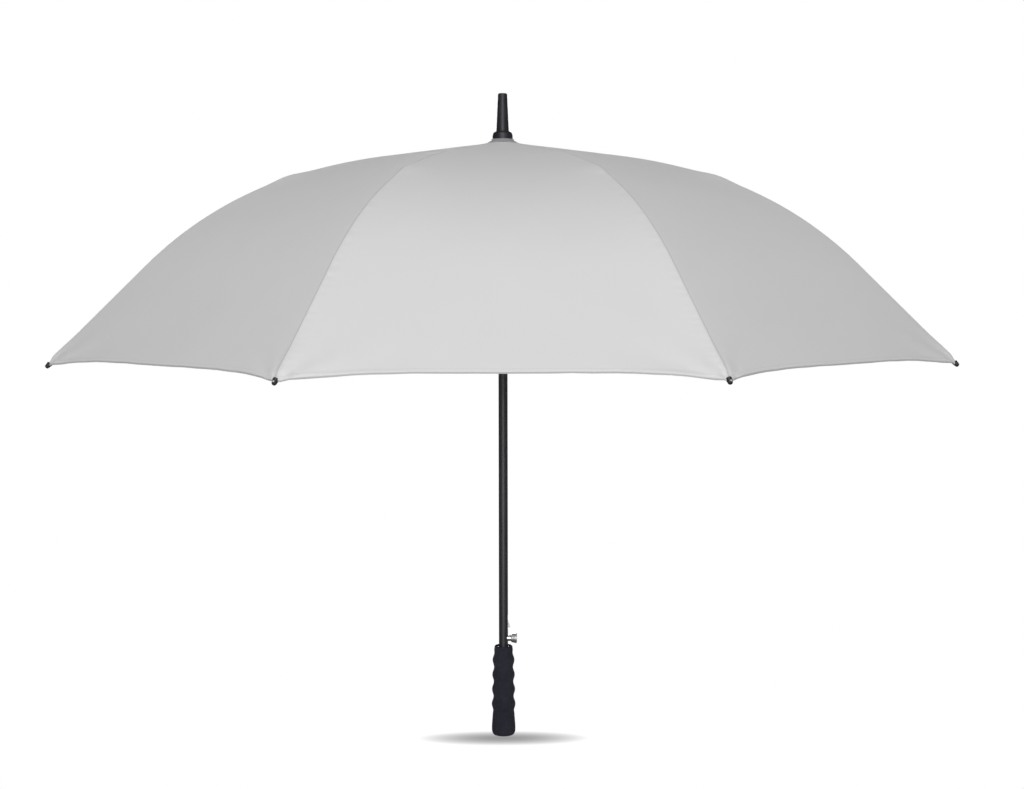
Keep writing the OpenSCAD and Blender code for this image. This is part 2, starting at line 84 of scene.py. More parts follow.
RIB_S = np.linspace(0, S_TIP, RIB_SAMPLES)
RIB_R = HINGE_R + sum_along(RIB_S, np.cos(rib_slope(RIB_S)))
RIB_Z = HINGE_Z - sum_along(RIB_S, np.sin(rib_slope(RIB_S)))


def rib_line(s, lift=0.0):
    """Distance from the axis and height of the rib line at s, moved out along its normal by lift."""
    slope = rib_slope(s)
    r = np.interp(s, RIB_S, RIB_R) + lift * np.sin(slope)
    z = np.interp(s, RIB_S, RIB_Z) + lift * np.cos(slope)
    return r, z


def rib_azimuth(rib):
    return 2 * HALF_GORE * (rib - 0.5)


def tangent(rib):
    a = rib_azimuth(rib)
    return Vector((-math.sin(a), math.cos(a), 0))


def outward(rib, s):
    """The rib line's outward normal in its own plane."""
    a, slope = rib_azimuth(rib), float(rib_slope(s))
    return Vector((math.sin(slope) * math.cos(a), math.sin(slope) * math.sin(a), math.cos(slope)))


def on_rib(rib, s, lift=0.0):
    r, z = rib_line(s, lift)
    a = rib_azimuth(rib)
    return Vector((r * math.cos(a), r * math.sin(a), z))


# ---- Canopy surface ----

CLOTH_LIFT = 2.4 * MM
CLOTH_T = 0.35 * MM
HEM_EXTRA_T = 1.2
S_CROWN = 9 * MM
S_CORNER = S_TIP - 3 * MM
S_IN_CUP = S_TIP - 4.3 * MM
HEM_RECESS = 21 * MM
HEM_FOLD = 6.5 * MM
PANEL_SAG = 8 * MM
SEAM_HALF = 2.1 * MM
SEAM_ROUNDING = 3 * MM
SEAM_ROUNDING_SHARE = 0.15
NORMAL_TURN = 12 * MM


def smooth(x, a, b):
    t = np.clip((x - a) / (b - a), 0, 1)
    return t * t * (3 - 2 * t)


def bell(x, spread):
    return np.exp(-(x / spread) ** 2)


def hem_station(t):
    """Where the hem crosses, as a distance along the rib, from the rib (t 0) to mid-panel (t 1)."""
    return np.minimum(S_CORNER - HEM_RECESS * (1 - (1 - t) ** 3), S_IN_CUP)


def wander(rib, side):
    """Two fixed phases, different for every rib and side."""
    k = rib * 2 + (side > 0)
    return 2.4 * k + 0.7, 4.1 * k + 1.9


def crown_rise(r):
    """The crown is drawn up to its rosette, from cloth that lies a little slack around it."""
    drawn, drawn_at, drawn_spread = 3.4 * MM, 12 * MM, 9 * MM
    slack, slack_spread = 0.4 * MM, 60 * MM
    return drawn * bell(r - drawn_at, drawn_spread) - slack * bell(r, slack_spread)


def joint_bump(s, d):
    """The cloth rides over the rib's joint."""
    height, along, across_rib = 2.6 * MM, 22 * MM, 20 * MM
    return height * bell(s - S_JOINT, along) * bell(d, across_rib)


def in_cup(s):
    """From 0 to 1 where the cloth's corner goes into the tip cup."""
    return smooth(s, S_TIP - 17 * MM, S_TIP - 8 * MM)


def corner_relief(s, d):
    """The corner lifts off the rib, then dips into the tip cup's mouth and droops on both sides of it."""
    lift, lift_half = 1.2 * MM, 9 * MM
    dip, droop, droop_at, droop_half = 0.4 * MM, 0.3 * MM, 6 * MM, 5 * MM
    lifted = lift * smooth(s, S_TIP - 60 * MM, S_TIP - 18 * MM) * bell(d, lift_half)
    return lifted * (1 - in_cup(s)) - in_cup(s) * (dip + droop * bell(d - droop_at, droop_half))


def corner_folds(s, d, t, phase):
    """Soft folds that fan out of the corner."""
    height, folds, spread = 0.8 * MM, 9, 55 * MM
    reach = np.maximum(S_TIP + 6 * MM - s, 4 * MM)
    fan = bell(reach, spread) * smooth(d, 0.5 * MM, 6 * MM) * (1 - smooth(t, 0.3, 0.9))
    return height * fan * np.sin(folds * np.arctan2(d, reach) + phase)


def seam_relief(s, d, t, phase, drift_phase):
    """The felled seam stands up over the rib, and puckers the cloth on both sides of it."""
    ridge, pucker, gather_half = 0.35 * MM, 0.22 * MM, 9 * MM
    pucker_pitch, drift, drift_pitch = 1.7 * MM, 1.3, 9 * MM
    seam = ridge * (1 - smooth(d, 0.8 * MM, SEAM_HALF + 0.4 * MM)) * (1 - in_cup(s))
    gather = bell(d, gather_half) * smooth(d, 0, 4 * MM) * (1 - smooth(t, 0.5, 1))
    wave = np.sin(s / pucker_pitch + phase + drift * np.sin(s / drift_pitch + drift_phase))
    return seam + pucker * gather * wave


def hem_relief(s, d, t, phase):
    """Waves that run along the hem, the step at the edge of its fold, and its rolled lip."""
    wave, wave_reach, wave_pitch = 0.35 * MM, 14 * MM, 9 * MM
    step, roll, roll_width = 0.15 * MM, 1.8 * MM, 2.4 * MM
    gap = hem_station(t) - s
    waves = wave * np.exp(-gap / wave_reach) * np.sin(d / wave_pitch + phase)
    waves = waves * smooth(t, 0, 0.3) * (1 - smooth(t, 0.75, 1))
    stepped = step * (1 - smooth(gap, HEM_FOLD - 0.5 * MM, HEM_FOLD + 0.7 * MM))
    return waves + stepped - roll * np.maximum(1 - gap / roll_width, 0) ** 2


def cloth_point(rib, side, s, t):
    """Points of the cloth in the rib's own frame (out, across, up), s along it and t towards mid-panel."""
    r, z = rib_line(s, CLOTH_LIFT)
    width = r * SIN_HALF
    d = width * t
    soft = np.minimum(SEAM_ROUNDING, SEAM_ROUNDING_SHARE * width)
    rounded = (np.hypot(d, soft) - soft) * width / (np.hypot(width, soft) - soft)
    sag = PANEL_SAG * (1 - (1 - t) ** 2) * s / S_CORNER
    phase, other_phase = wander(rib, side)
    relief = (joint_bump(s, d) + corner_relief(s, d) + seam_relief(s, d, t, phase, other_phase)
              + corner_folds(s, d, t, phase) + hem_relief(s, d, t, other_phase))
    # The relief stands out along a normal that turns from the rib's to the panel's
    slope = rib_slope(s)
    turn = HALF_GORE * smooth(d, 0, np.minimum(NORMAL_TURN, width))
    flat = relief * np.sin(slope)
    x = r - SIN_HALF * rounded + flat * np.cos(turn)
    y = COS_HALF * d + flat * np.sin(turn)
    z = z - sag + crown_rise(r) + relief * np.cos(slope)
    return np.stack([x, side * y, z], -1)


def cloth_normal(rib, side, s, t):
    s_step, t_step = 0.1 * MM, 0.001
    ds = cloth_point(rib, side, s + s_step, t) - cloth_point(rib, side, s - s_step, t)
    t0, t1 = np.maximum(t - t_step, 0), np.minimum(t + t_step, 1)
    dt = cloth_point(rib, side, s, t1) - cloth_point(rib, side, s, t0)
    n = np.cross(ds, dt) * side
    n[..., 1] = np.where(t == 0, 0, n[..., 1])
    n = n / np.linalg.norm(n, axis=-1, keepdims=True)
    # At mid-panel the cloth runs on into its mirror image
    mid = np.array([-SIN_HALF, side * COS_HALF, 0])
    flat = n - (n @ mid)[..., None] * mid
    flat = flat / np.linalg.norm(flat, axis=-1, keepdims=True)
    return np.where((t == 1)[..., None], flat, n)


# ---- Meshes ----

SEAM_COLUMNS = np.array([0, 0.9, 1.8, 2.2, 2.6, 3.0, 3.8, 5.0, 6.6]) * MM
SEAM_COLUMNS_SHARE = 0.6
PANEL_COLUMNS = 12
PANEL_CROWDING = 1.35
HEM_CROWDING = 1.5


def turned(points, azimuth):
    c, s = math.cos(azimuth), math.sin(azimuth)
    x, y, z = points[..., 0], points[..., 1], points[..., 2]
    return np.stack([c * x - s * y, s * x + c * y, z], -1)


def across(width):
    """Places across a half gore, closer together over the seam: fractions of the width."""
    near = SEAM_COLUMNS * min(1.0, SEAM_COLUMNS_SHARE * width / SEAM_COLUMNS[-1])
    rest = near[-1] + (width - near[-1]) * np.linspace(0, 1, PANEL_COLUMNS + 1)[1:] ** PANEL_CROWDING
    return np.concatenate([near, rest]) / width


def half_grid(s0, s1, count, to_hem=False):
    """Stations and fractions of a half gore between two stations on the rib, or down to the curved hem."""
    k = np.linspace(0, 1, count)
    if to_hem:
        k = 1 - (1 - k) ** HEM_CROWDING
    on_line = s0 + (s1 - s0) * k
    t = np.stack([across(rib_line(s, CLOTH_LIFT)[0] * SIN_HALF) for s in on_line])
    if to_hem:
        return s0 + (hem_station(t) - s0) * k[:, None], t
    return np.broadcast_to(on_line[:, None], t.shape), t


def quads(a, b, c, d):
    return np.stack([a, b, c, d], -1).reshape(-1, 4)


def mesh_object(name, verts, faces):
    """A smooth-shaded mesh of four-sided faces."""
    mesh = bpy.data.meshes.new(name)
    mesh.from_pydata(np.asarray(verts).tolist(), [], np.asarray(faces).tolist())
    mesh.validate()
    mesh.polygons.foreach_set("use_smooth", np.ones(len(mesh.polygons), bool))
    obj = bpy.data.objects.new(name, mesh)
    bpy.context.scene.collection.objects.link(obj)
    return obj


def shell(name, grids, rib):
    """A closed thin sheet over one half grid or two of (side, s, t), with the cloth's own normals.

    Its layer "weave" measures from mid-panel and along the rib, and "sewing" from the seam and the hem.
    """
    halves = []
    for side, s, t in grids:
        width = rib_line(s, CLOTH_LIFT)[0] * SIN_HALF
        halves.append((cloth_point(rib, side, s, t), cloth_normal(rib, side, s, t), hem_station(t) - s,
                       side * width * t, side * width * (1 - t), s))
    if len(grids) == 2:  # left half reversed, then the right half without its own rib column
        def join(parts):
            return np.concatenate([parts[0][:, ::-1], parts[1][:, 1:]], 1)
    else:
        def join(parts):
            return parts[0] if grids[0][0] > 0 else parts[0][:, ::-1]
    p, n, gap, from_seam, from_mid, station = map(join, zip(*halves))
    p, n = turned(p, rib_azimuth(rib)), turned(n, rib_azimuth(rib))
    thick = CLOTH_T * (1 + HEM_EXTRA_T * (gap < HEM_FOLD)[..., None])
    top = np.arange(gap.size).reshape(gap.shape)
    low = top + gap.size
    faces = [quads(top[:-1, :-1], top[1:, :-1], top[1:, 1:], top[:-1, 1:]),
             quads(low[:-1, :-1], low[:-1, 1:], low[1:, 1:], low[1:, :-1]),
             quads(top[:-1, 0], low[:-1, 0], low[1:, 0], top[1:, 0]),
             quads(top[:-1, -1], top[1:, -1], low[1:, -1], low[:-1, -1]),
             quads(top[0, :-1], top[0, 1:], low[0, 1:], low[0, :-1]),
             quads(top[-1, :-1], low[-1, :-1], low[-1, 1:], top[-1, 1:])]
    verts = np.concatenate([p.reshape(-1, 3), (p - n * thick).reshape(-1, 3)])
    obj = mesh_object(name, verts, np.concatenate(faces))
    mesh = obj.data
    corner_vertex = np.zeros(len(mesh.loops), np.int64)
    mesh.loops.foreach_get("vertex_index", corner_vertex)
    normals = np.concatenate([n.reshape(-1, 3), -n.reshape(-1, 3)])[corner_vertex]
    skin_corners = 4 * (len(faces[0]) + len(faces[1]))
    normals[skin_corners:] = 0  # the rims keep their own face normals
    mesh.normals_split_custom_set(normals.tolist())
    for layer, u, v in (("weave", from_mid, station), ("sewing", from_seam, gap)):
        uv = np.stack([u.ravel(), v.ravel()], -1)
        uv = np.concatenate([uv, uv])[corner_vertex]
        mesh.uv_layers.new(name=layer).data.foreach_set("uv", uv.astype(np.float32).ravel())
    return obj


def lathe(name, outline, sides=96):
    """A closed turned shape from a loop of (radius, height) points that runs anticlockwise."""
    angle = np.linspace(0, 2 * math.pi, sides, endpoint=False)
    ring = np.stack([np.cos(angle), np.sin(angle)], -1)
    verts = np.concatenate([np.column_stack([ring * r, np.full(sides, z)]) for r, z in outline])
    index = np.arange(len(verts)).reshape(-1, sides)
    onward = np.roll(index, -1, 0)
    faces = quads(index, np.roll(index, -1, 1), np.roll(onward, -1, 1), onward)
    return mesh_object(name, verts, faces)


# ---- Materials ----


class Shader:
    """A material with its Principled shader, and short calls that add nodes to it."""

    def __init__(self, name, **constants):
        self.material = bpy.data.materials.new(name)
        self.material.use_nodes = True
        self.nodes = self.material.node_tree.nodes
        self.links = self.material.node_tree.links
        self.shader = self.nodes["Principled BSDF"]
        for key, value in constants.items():
            self.shader.inputs[key.replace("_", " ")].default_value = value

    def put(self, socket, value):
        if isinstance(value, bpy.types.NodeSocket):
            self.links.new(value, socket)
        else:
            socket.default_value = value

    def math(self, operation, a, b=0.0):
        node = self.nodes.new("ShaderNodeMath")
        node.operation = operation
        for socket, value in zip(node.inputs, (a, b)):
            self.put(socket, value)
        return node.outputs[0]

    def uv(self, layer):
        """U and V of a layer, in metres."""
        node = self.nodes.new("ShaderNodeUVMap")
        node.uv_map = layer
        split = self.nodes.new("ShaderNodeSeparateXYZ")
        self.links.new(node.outputs[0], split.inputs[0])
        return split.outputs[0], split.outputs[1]

    def place(self):
        return self.nodes.new("ShaderNodeTexCoord").outputs["Object"]

    def axes(self):
        split = self.nodes.new("ShaderNodeSeparateXYZ")
        self.links.new(self.place(), split.inputs[0])
        return split.outputs

    def noise(self, scale, detail=2.0, roughness=0.5, stretch=None):
        node = self.nodes.new("ShaderNodeTexNoise")
        node.inputs["Scale"].default_value = scale
        node.inputs["Detail"].default_value = detail
        node.inputs["Roughness"].default_value = roughness
        vector = self.place()
        if stretch:
            mapping = self.nodes.new("ShaderNodeMapping")
            mapping.inputs["Scale"].default_value = stretch
            self.links.new(vector, mapping.inputs["Vector"])
            vector = mapping.outputs[0]
        self.links.new(vector, node.inputs["Vector"])
        return node.outputs[0]

    def cells(self, scale):
        node = self.nodes.new("ShaderNodeTexVoronoi")
        node.inputs["Scale"].default_value = scale
        self.links.new(self.place(), node.inputs["Vector"])
        return node.outputs["Distance"]

    def between(self, value, low, high, out_low=0.0, out_high=1.0):
        node = self.nodes.new("ShaderNodeMapRange")
        for socket, number in zip(node.inputs, (value, low, high, out_low, out_high)):
            self.put(socket, number)
        return node.outputs[0]

    def colour(self, factor, dark, light):
        """Base colour from dark to light as factor goes from 0 to 1, and on beyond both."""
        node = self.nodes.new("ShaderNodeMix")
        node.data_type = "RGBA"
        node.clamp_factor = False
        self.put(node.inputs[0], factor)
        for socket, colour in zip(node.inputs[6:8], (dark, light)):
            socket.default_value = (*colour, 1)
        self.links.new(node.outputs[2], self.shader.inputs["Base Color"])

    def mottle(self, texture, dark, light):
        """Base colour from dark to light over the middle of a texture's range."""
        self.colour(self.between(texture, 0.3, 0.7), dark, light)

    def roughness(self, texture, least, most, low=0.3, high=0.7):
        self.put(self.shader.inputs["Roughness"], self.between(texture, low, high, least, most))

    def bump(self, height, distance, strength=1.0, after=None):
        node = self.nodes.new("ShaderNodeBump")
        node.inputs["Strength"].default_value = strength
        node.inputs["Distance"].default_value = distance
        self.links.new(height, node.inputs["Height"])
        if after is not None:
            self.links.new(after, node.inputs["Normal"])
        self.links.new(node.outputs[0], self.shader.inputs["Normal"])
        return node.outputs[0]


WEAVE_PITCH = 0.62 * MM
STITCH_PITCH = 2.8 * MM
STITCH_SHARE = 0.68
SEAM_ROW = 1.7 * MM
HEM_ROW = 5.2 * MM
HEM_ROW_REACH = 12 * MM


def weave_pattern(m, u, v):
    """Crossing waves of warp and weft."""
    waves = [m.math("SINE", m.math("MULTIPLY", run, 2 * math.pi / WEAVE_PITCH)) for run in (u, v)]
    return m.math("MULTIPLY", *waves)


def stitch_row(m, gap, row, run):
    """1 on the stitches of a row that lies where gap is row, as run goes along it."""
    off_row = m.math("ABSOLUTE", m.math("SUBTRACT", gap, row))
    near = m.between(off_row, 0.15 * MM, 0.45 * MM, 1, 0)
    beat = m.math("FRACT", m.math("DIVIDE", run, STITCH_PITCH))
    return m.math("MULTIPLY", near, m.math("LESS_THAN", beat, STITCH_SHARE))


def cloth_material():
    """Plain-woven polyester with a silvery finish, its felled seams and its stitched hem, with painted shade in
    the crease by each seam and along the hem's rolled edge.
    """
    m = Shader("silver_pongee", Sheen_Weight=0.35, Sheen_Roughness=0.55, Specular_IOR_Level=0.3)
    from_mid, station = m.uv("weave")
    across_seam, from_hem = m.uv("sewing")
    off_seam = m.math("ABSOLUTE", across_seam)
    weave = weave_pattern(m, from_mid, station)
    slub = m.noise(900, detail=2, roughness=0.6, stretch=(1, 1, 6))
    cloud = m.noise(9, detail=3, roughness=0.55)
    seam_stitches = stitch_row(m, off_seam, SEAM_ROW, station)
    hem_stitches = stitch_row(m, from_hem, HEM_ROW, from_mid)
    on_hem = m.math("LESS_THAN", from_hem, HEM_ROW_REACH)
    stitches = m.math("MAXIMUM", seam_stitches, m.math("MULTIPLY", hem_stitches, on_hem))
    # Painted shade: darker in the crease beside each seam
    painted_seam_shade = m.between(off_seam, 0.5 * MM, 1.1 * MM, 1, 0)
    # Painted shade: darker along the hem's rolled edge
    painted_hem_shade = m.between(from_hem, 0.9 * MM, 1.7 * MM, 1, 0)
    shade = m.math("ADD", m.between(cloud, 0.3, 0.7, 0.42, 0.58), m.math("MULTIPLY", weave, 0.05))
    shade = m.math("ADD", shade, m.between(slub, 0.3, 0.7, -0.08, 0.08))
    # The stitches are darkened, and painted shade goes into the seam's crease and along the hem's edge
    for mark, depth in ((stitches, 0.9), (painted_seam_shade, 1.7), (painted_hem_shade, 2.5)):
        shade = m.math("SUBTRACT", shade, m.math("MULTIPLY", mark, depth))
    m.colour(shade, dark=(0.53, 0.53, 0.535), light=(0.61, 0.61, 0.612))
    m.roughness(slub, 0.62, 0.8, low=0.2, high=0.8)
    woven = m.bump(weave, 0.03 * MM, strength=0.3)
    m.bump(m.math("SUBTRACT", slub, stitches), 0.12 * MM, strength=0.2, after=woven)
    return m.material


def lacquer_material():
    """Satin black lacquer on steel, with a faint orange peel and rubbed streaks along the shaft."""
    m = Shader("black_lacquer", Coat_Weight=0.5, Coat_Roughness=0.45, Specular_IOR_Level=1.0)
    peel = m.noise(420, detail=3)
    streak = m.noise(60, detail=3, roughness=0.6, stretch=(8, 8, 0.6))
    m.colour(m.between(streak, 0.35, 0.75), dark=(0.012, 0.012, 0.017), light=(0.023, 0.023, 0.028))
    m.roughness(streak, 0.42, 0.54)
    m.bump(peel, 0.06 * MM, strength=0.25)
    return m.material


def rib_material():
    """Black fibreglass: fine strands under a matt skin."""
    m = Shader("black_fibreglass", Specular_IOR_Level=0.45)
    strands = m.noise(1500, detail=3, roughness=0.6)
    m.mottle(strands, dark=(0.01, 0.01, 0.014), light=(0.028, 0.028, 0.033))
    m.roughness(strands, 0.42, 0.58)
    m.bump(strands, 0.05 * MM, strength=0.4)
    return m.material


def plastic_material():
    """Black moulded plastic: a fine spark texture under slow changes of gloss."""
    m = Shader("moulded_plastic", Specular_IOR_Level=0.5)
    spark = m.noise(1400)
    cloud = m.noise(40, detail=3, roughness=0.6)
    m.mottle(cloud, dark=(0.011, 0.011, 0.016), light=(0.02, 0.02, 0.025))
    m.roughness(cloud, 0.48, 0.58)
    m.bump(spark, 0.04 * MM, strength=0.4)
    return m.material


def foam_material():
    """Closed-cell foam: fine pores in a coarser grain, matt, a little paler where it is rubbed."""
    m = Shader("foam", Specular_IOR_Level=0.2, Sheen_Weight=0.04, Sheen_Roughness=0.5)
    pores = m.cells(1300)
    coarse = m.noise(500, detail=3, roughness=0.6)
    rubbed = m.noise(35, detail=3, roughness=0.6)
    m.mottle(rubbed, dark=(0.022, 0.022, 0.034), light=(0.032, 0.032, 0.046))
    m.roughness(coarse, 0.78, 0.92)
    m.bump(m.math("ADD", pores, coarse), 0.18 * MM, strength=0.5)
    return m.material


def steel_material():
    """Bright drawn wire with fine marks."""
    m = Shader("drawn_steel", Metallic=1.0)
    marks = m.noise(1800, roughness=0.6)
    m.mottle(marks, dark=(0.5, 0.5, 0.51), light=(0.66, 0.66, 0.67))
    m.roughness(marks, 0.22, 0.38)
    m.bump(marks, 0.02 * MM, strength=0.3)
    return m.material


def chrome_material():
    """Polished plating with a soft haze of fine scratches."""
    m = Shader("chrome_plate", Metallic=1.0)
    haze = m.noise(300, detail=3, roughness=0.6)
    m.mottle(haze, dark=(0.86, 0.86, 0.87), light=(0.93, 0.93, 0.94))
    m.roughness(haze, 0.38, 0.48)
    m.bump(haze, 0.01 * MM, strength=0.2)
    return m.material


def satin_material():
    """Tumbled plating, duller than the button's."""
    m = Shader("satin_plate", Metallic=0.35)
    haze = m.noise(300, detail=3, roughness=0.6)
    m.mottle(haze, dark=(0.8, 0.78, 0.8), light=(0.88, 0.86, 0.87))
    m.roughness(haze, 0.5, 0.62)
    m.bump(haze, 0.01 * MM, strength=0.2)
    return m.material


def thread_material():
    """Twisted grey sewing thread."""
    m = Shader("sewing_thread", Roughness=0.75, Sheen_Weight=0.2)
    twist = m.noise(2600, roughness=0.6)
    m.mottle(twist, dark=(0.42, 0.42, 0.43), light=(0.6, 0.6, 0.61))
    m.bump(twist, 0.06 * MM, strength=0.6)
    return m.material


SATIN = satin_material()
THREAD = thread_material()
MATERIALS = {
    "silver_cloth": cloth_material(),
    "black_steel": lacquer_material(),
    "rib_black": rib_material(),
    "black_plastic": plastic_material(),
    "spring_steel": steel_material(),
    "chrome": chrome_material(),
    "foam_grip": foam_material(),
}


def dress(obj, material):
    obj.data.materials.clear()
    obj.data.materials.append(material)


def finish_piece(obj, slot, body, material=None):
    dress(obj, material or MATERIALS[slot])
    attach(obj, body)


def dress_cad_nodes():
    """Every carried-over CAD node takes the material of its slot in the record, and the catch its own."""
    for part in frame["record"]["subparts"]:
        own = SATIN if part["node"] == "catch_lever" else MATERIALS[part["material_slot"]]
        dress(frame["nodes"][part["node"]], own)


# ---- Canopy pieces ----

# Name, from, to, rows of vertices, body, width kept when folded, and the slant of its folding in degrees.
# A slanted stretch is made as a left and a right half.
S_INNER = 98 * MM
STRETCHES = (
    ("yoke", S_CROWN - 2 * MM, S_INNER, 16, "rib_inner", 0.36, None),
    ("upper", S_INNER, S_JOINT, 40, "rib_inner", 0.225, None),
    ("lower", S_JOINT, S_BEND_END, 36, "rib_outer", 0.18, 12),
    ("hem", S_BEND_END, S_CORNER, 44, "rib_outer", 0.145, 16.5),
)
HEM_AREA_SHARE = 0.93
FLAT_SAMPLES = 200
CROWN_ROWS = 6
CROWN_LIFT = 0.45 * MM


def flat_cut(s0, s1, halves):
    """Width and length that a stretch of one gore is cut to in the flat, and its area."""
    s = np.linspace(s0, s1, FLAT_SAMPLES)
    width = rib_line(s, CLOTH_LIFT)[0] * SIN_HALF * halves
    return (float(width.max()), float(s1 - s0)), float(width.mean() * (s1 - s0))


def canopy_gore(rib):
    """One gore, from near the crown to the hem, in stretches that each ride on the inner or outer part of its rib.
    """
    for name, s0, s1, rows, body, keep, slant in STRETCHES:
        to_hem = name == "hem"
        s, t = half_grid(s0, s1, rows, to_hem)
        pieces = {"": (-1, 1)} if slant is None else {"_a": (-1,), "_b": (1,)}
        for suffix, sides in pieces.items():
            obj = shell(f"canopy_{name}_{rib}{suffix}", [(side, s, t) for side in sides], rib)
            finish_piece(obj, "silver_cloth", f"{body}_{rib}")
            flat, area = flat_cut(s0, s1, len(sides))
            if to_hem:
                area *= HEM_AREA_SHARE
            middle = (s0 + s1) / 2
            axis = tangent(rib)
            if slant is not None:
                lean = math.radians(slant)
                axis = axis * sides[0] * math.cos(lean) - outward(rib, middle) * math.sin(lean)
            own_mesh(obj)
            if name == "upper":
                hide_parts(f"canopy_gore_{rib}")


def canopy_crown():
    """The round of cloth under the rosette, where all the gores meet."""
    columns = []
    for rib in range(1, RIBS + 1):
        s, t = half_grid(0, S_CROWN, CROWN_ROWS)
        for side in (-1, 1):
            p = turned(cloth_point(rib, side, s, t), rib_azimuth(rib))
            columns.append(p[:, :0:-1] if side < 0 else p[:, :-1])
    p = np.concatenate(columns, 1)
    p[..., 2] += CROWN_LIFT
    verts = np.concatenate([p.reshape(-1, 3), (p - np.array([0, 0, CLOTH_T])).reshape(-1, 3)])
    top = np.arange(p[..., 0].size).reshape(p.shape[:2])
    top_next = np.roll(top, -1, 1)
    low, low_next = top + top.size, top_next + top.size
    faces = [quads(top[:-1], top[1:], top_next[1:], top_next[:-1]),
             quads(low[:-1], low_next[:-1], low_next[1:], low[1:]),
             quads(top_next[0], top[0], low[0], low_next[0]),
             quads(top[-1], top_next[-1], low_next[-1], low[-1])]
    obj = mesh_object("canopy_crown", verts, np.concatenate(faces))
    finish_piece(obj, "silver_cloth", "shaft")


# ---- Sewing ----

TIES_INNER = (70 * MM, 150 * MM, 225 * MM)
TIES_OUTER = (S_JOINT + 80 * MM, S_JOINT + 165 * MM, S_JOINT + 250 * MM, S_JOINT + 330 * MM)
TIE_R = 2.15 * MM
TIE_LIFT = 0.1 * MM
TIE_TURN_OFFSET = 0.45 * MM
TIE_THREAD_R = 0.25 * MM
# A pale knot at each tip, which stands in as a painted highlight on the black tip cup
S_HIGHLIGHT_KNOT = S_TIP - 2.5 * MM
HIGHLIGHT_KNOT_LIFT = 2.6 * MM
HIGHLIGHT_KNOT_HALVES = (0.5 * MM, 0.7 * MM)
HIGHLIGHT_KNOT_THREAD_R = 0.5 * MM
LOOP_STEPS = 20
LOOP_SIDES = 6


def thread_loops(name, loops, body):
    """Turns of thread as one piece: each is a centre and two half axes, wound round the oval they make."""
    verts, faces = [], []
    for centre, u, v, thread_r in loops:
        start = len(verts)
        along = u.cross(v).normalized()
        for a in np.linspace(0, 2 * math.pi, LOOP_STEPS, endpoint=False):
            spoke = u * math.cos(a) + v * math.sin(a)
            for b in np.linspace(0, 2 * math.pi, LOOP_SIDES, endpoint=False):
                offset = spoke.normalized() * math.cos(b) + along * math.sin(b)
                verts.append(centre + spoke + offset * thread_r)
        index = start + np.arange(LOOP_STEPS * LOOP_SIDES).reshape(LOOP_STEPS, LOOP_SIDES)
        onward = np.roll(index, -1, 0)
        faces.append(quads(index, onward, np.roll(onward, -1, 1), np.roll(index, -1, 1)))
    finish_piece(mesh_object(name, verts, np.concatenate(faces)), "silver_cloth", body, THREAD)


def seam_ties(rib, places):
    """Pairs of turns that hold the seam down to the rib."""
    stations = [place + turn * TIE_TURN_OFFSET for place in places for turn in (-1, 1)]
    return [(on_rib(rib, s, TIE_LIFT), tangent(rib) * TIE_R, outward(rib, s) * TIE_R, TIE_THREAD_R)
            for s in stations]


def corner_knot_as_highlight(rib):
    """The knot of the cloth's corner in the tip's eyelet, pale thread that stands in as a painted highlight on the
    tip cup.
    """
    side = tangent(rib)
    forward = side.cross(outward(rib, S_HIGHLIGHT_KNOT))
    return (on_rib(rib, S_HIGHLIGHT_KNOT, HIGHLIGHT_KNOT_LIFT), side * HIGHLIGHT_KNOT_HALVES[0], forward * HIGHLIGHT_KNOT_HALVES[1], HIGHLIGHT_KNOT_THREAD_R)


def rib_ties(rib):
    thread_loops(f"ties_inner_{rib}", seam_ties(rib, TIES_INNER), f"rib_inner_{rib}")
    thread_loops(f"ties_highlight_knot_outer_{rib}", seam_ties(rib, TIES_OUTER) + [corner_knot_as_highlight(rib)], f"rib_outer_{rib}")


# ---- Grip ----

WAVE_R = 15.25 * MM
WAVE_TAPER = 0.021
WAVE_HEIGHT = 1.1 * MM
WAVE_PITCH = 20.3 * MM
CREST_Z = 42.8 * MM
FOOT_R = 16.3 * MM
FOOT_TAPER = 1.3 * MM
FOOT_EDGE_Z = 8 * MM
FOOT_EDGE_R = 3.4 * MM
FOOT_EDGE_DROP = 7.5 * MM
NECK_R = 12.45 * MM
LIP_R = 1.3 * MM
LIP_RISE = 2.2 * MM
BORE_R = 9.1 * MM


def foam_grip():
    """Waved foam grip, its outline through the same crests and waists as the CAD solid, with soft edges."""
    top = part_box("handle_grip")[1].z

    def outer(z):
        """Radius of the outline: a spreading foot, then waves, then a plain neck."""
        wave = WAVE_R - WAVE_TAPER * (z - CREST_Z)
        wave = wave + WAVE_HEIGHT * np.cos(2 * math.pi * (z - CREST_Z) / WAVE_PITCH)
        foot = FOOT_R - FOOT_TAPER * smooth(z, 9 * MM, 32 * MM)
        body = foot + (wave - foot) * smooth(z, 26 * MM, 36 * MM)
        return body + (NECK_R - body) * smooth(z, top - 10 * MM, top - 1.5 * MM)

    foot_centre_r = outer(FOOT_EDGE_Z) - FOOT_EDGE_R
    foot = [(foot_centre_r + FOOT_EDGE_R * math.sin(a), FOOT_EDGE_Z - FOOT_EDGE_DROP * math.cos(a))
            for a in np.linspace(0, math.pi / 2, 10)]
    z = np.linspace(FOOT_EDGE_Z, top - 2.5 * MM, 120)
    side = list(zip(outer(z), z))
    lip = [(NECK_R - LIP_R + LIP_R * math.cos(a), top - LIP_RISE + LIP_RISE * math.sin(a))
           for a in np.linspace(0.1, math.pi - 0.3, 12)]
    dish = [(BORE_R + 0.1 * MM, top - 2.6 * MM), (BORE_R, top - 4 * MM)]
    bore = [(BORE_R, 0.9 * MM), (BORE_R + 0.9 * MM, 0.5 * MM)]
    grip = lathe("foam_grip_sleeve", foot + side + lip + dish + bore)
    finish_piece(grip, "foam_grip", "shaft")
    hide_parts("handle_grip")


